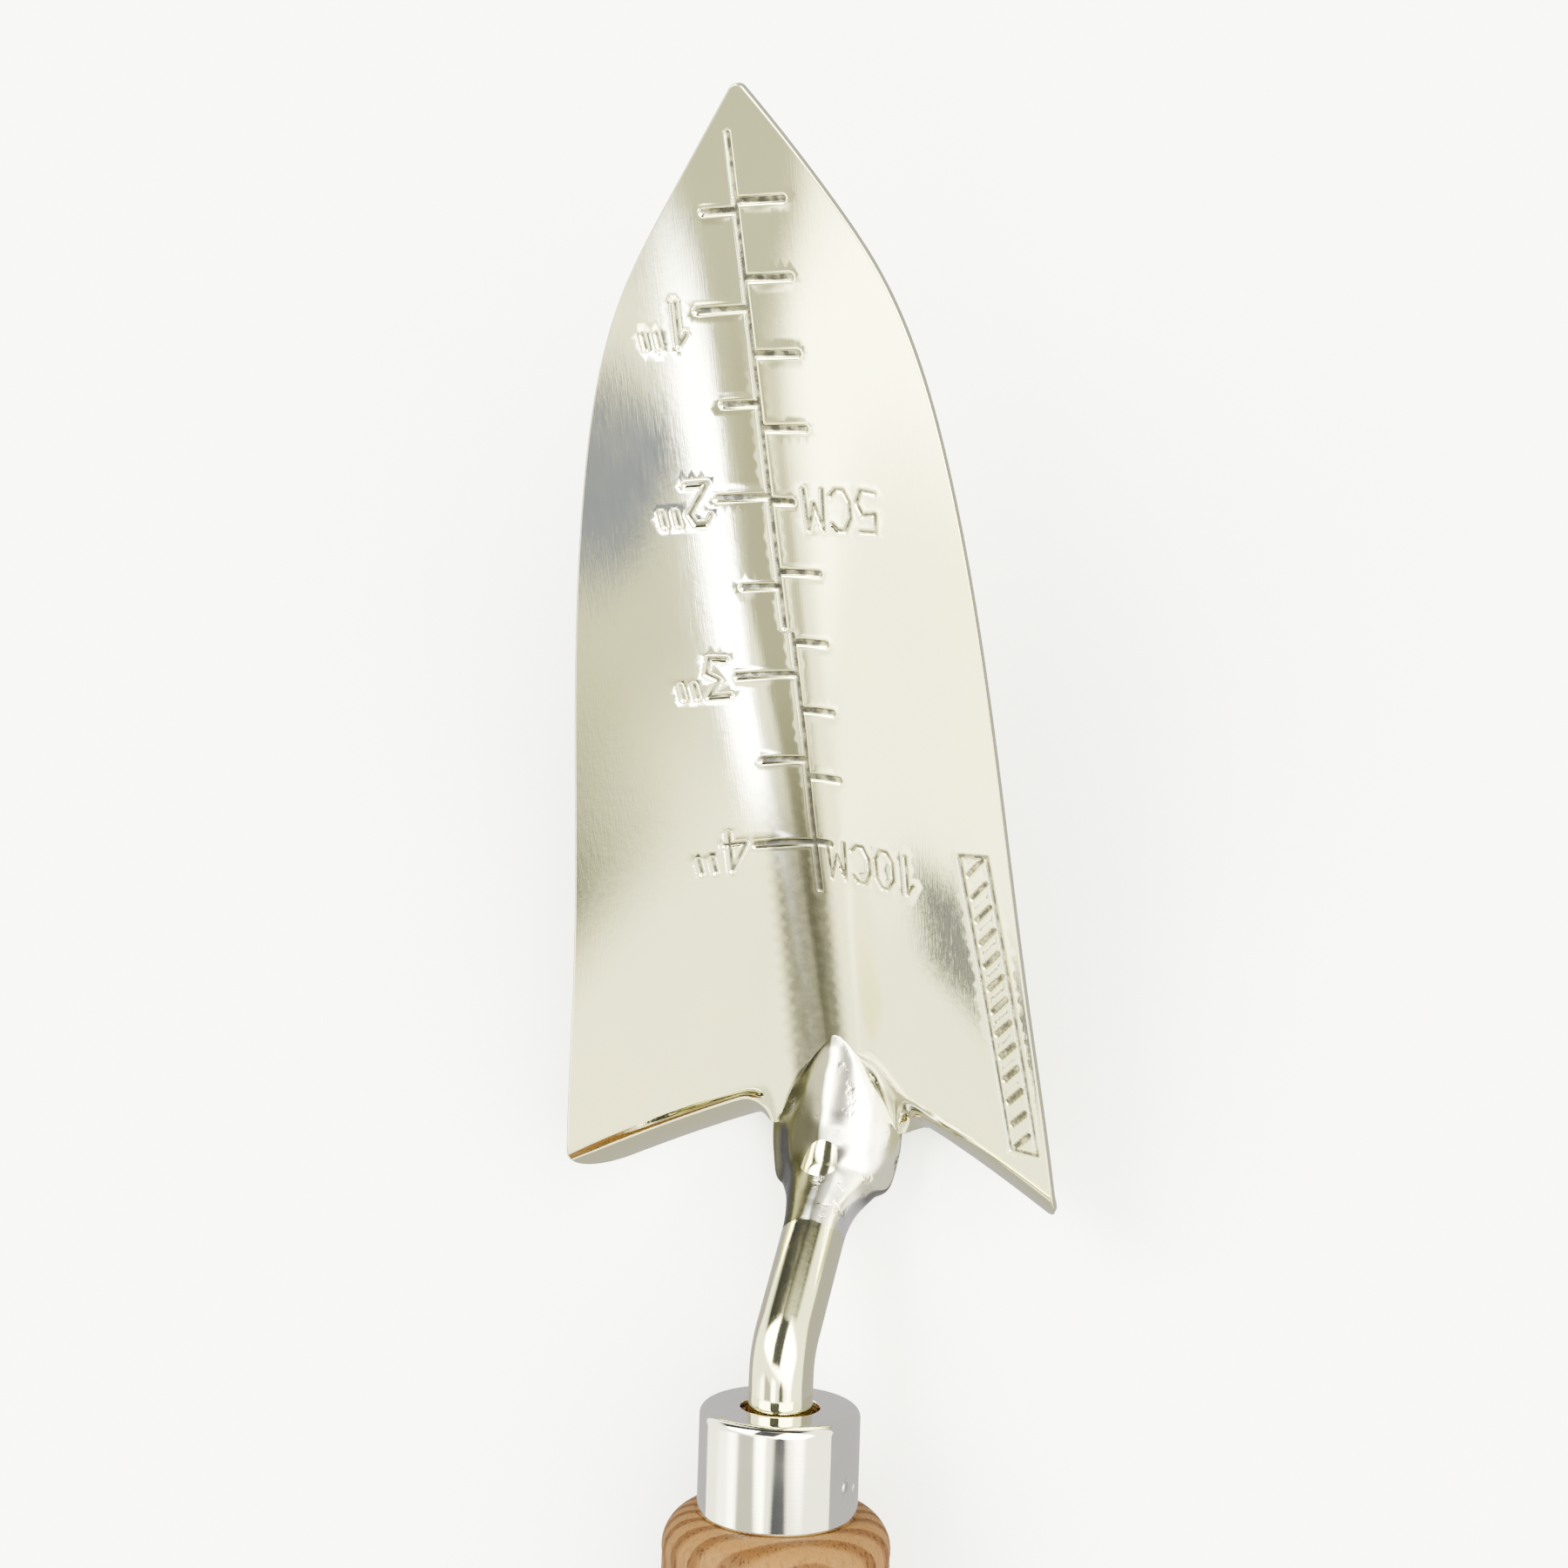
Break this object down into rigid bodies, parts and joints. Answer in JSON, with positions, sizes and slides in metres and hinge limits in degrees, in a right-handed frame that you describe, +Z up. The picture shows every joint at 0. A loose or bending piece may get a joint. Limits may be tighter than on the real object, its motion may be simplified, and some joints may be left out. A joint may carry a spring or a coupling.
{
  "type": "hand trowel",
  "caption": "Hand trowel with a pointed, scooped stainless blade bearing a pressed depth scale, a cranked neck, a ferrule and a turned ash grip.",
  "frame": {"origin": "centre of the bounding box's bottom, on the surface that the trowel lies on", "axes": "+Z up, out of the scoop; +Y along the tool to the blade's tip; +X to the right of the blade seen from above with the tip away"},
  "size_m": [0.0752, 0.316, 0.0617],
  "materials": {
    "blade_steel": "satin polished stainless",
    "neck_steel": "polished stainless",
    "weld_steel": "ground and polished weld",
    "ferrule_steel": "mirror polished",
    "pin_steel": "dark steel",
    "glue": "cured epoxy",
    "ash": "oiled ash, open grain"
  },
  "bodies": {
    "root": {"blade": "blade_steel", "neck_rod": "neck_steel", "weld_left": "weld_steel", "weld_right": "weld_steel", "ferrule": "ferrule_steel", "ferrule_pin": "pin_steel", "tang_glue": "glue", "handle": "ash"}
  },
  "joints": []
}
